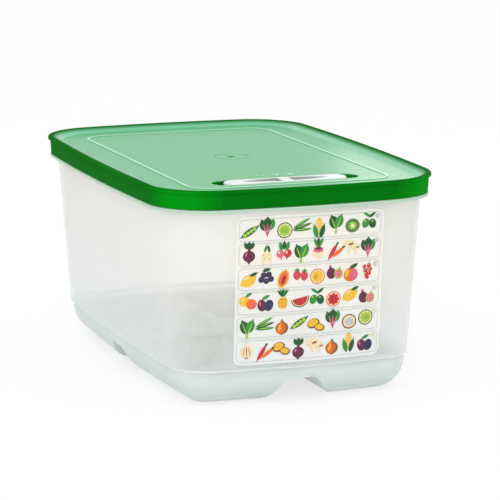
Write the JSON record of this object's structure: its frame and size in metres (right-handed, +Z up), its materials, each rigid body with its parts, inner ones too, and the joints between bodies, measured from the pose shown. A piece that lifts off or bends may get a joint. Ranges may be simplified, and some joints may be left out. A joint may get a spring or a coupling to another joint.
{
  "type": "produce keeper",
  "caption": "Lidded fridge keeper for fruit and vegetables: translucent footed box, green press-fit lid, sliding air vent and a produce chart on the front.",
  "frame": {"origin": "on the ground under the middle of the box, with the lid on", "axes": "+Z up, +X across the box, +Y along the box to its back; the short front face with the chart looks along -Y"},
  "size_m": [0.195, 0.297, 0.14],
  "materials": {
    "natural_plastic": "frosted translucent natural polypropylene, smooth",
    "green_plastic": "glossy band and lip, fine matte texture on the deck",
    "white_plastic": "smooth white",
    "chart_film": "printed film moulded onto the wall"
  },
  "bodies": {
    "container": {"container": "natural_plastic", "produce_chart": "chart_film"},
    "lid": {"lid": "green_plastic"},
    "vent_slider": {"vent_slider": "white_plastic"}
  },
  "joints": [
    {"name": "lid_lift", "type": "slide", "parent": "container", "child": "lid", "axis": [0, 0, 1], "range_m": [0, 0.16]},
    {"name": "vent_slide", "type": "slide", "parent": "lid", "child": "vent_slider", "axis": [1, 0, 0], "range_m": [-0.0072, 0.0072]}
  ]
}
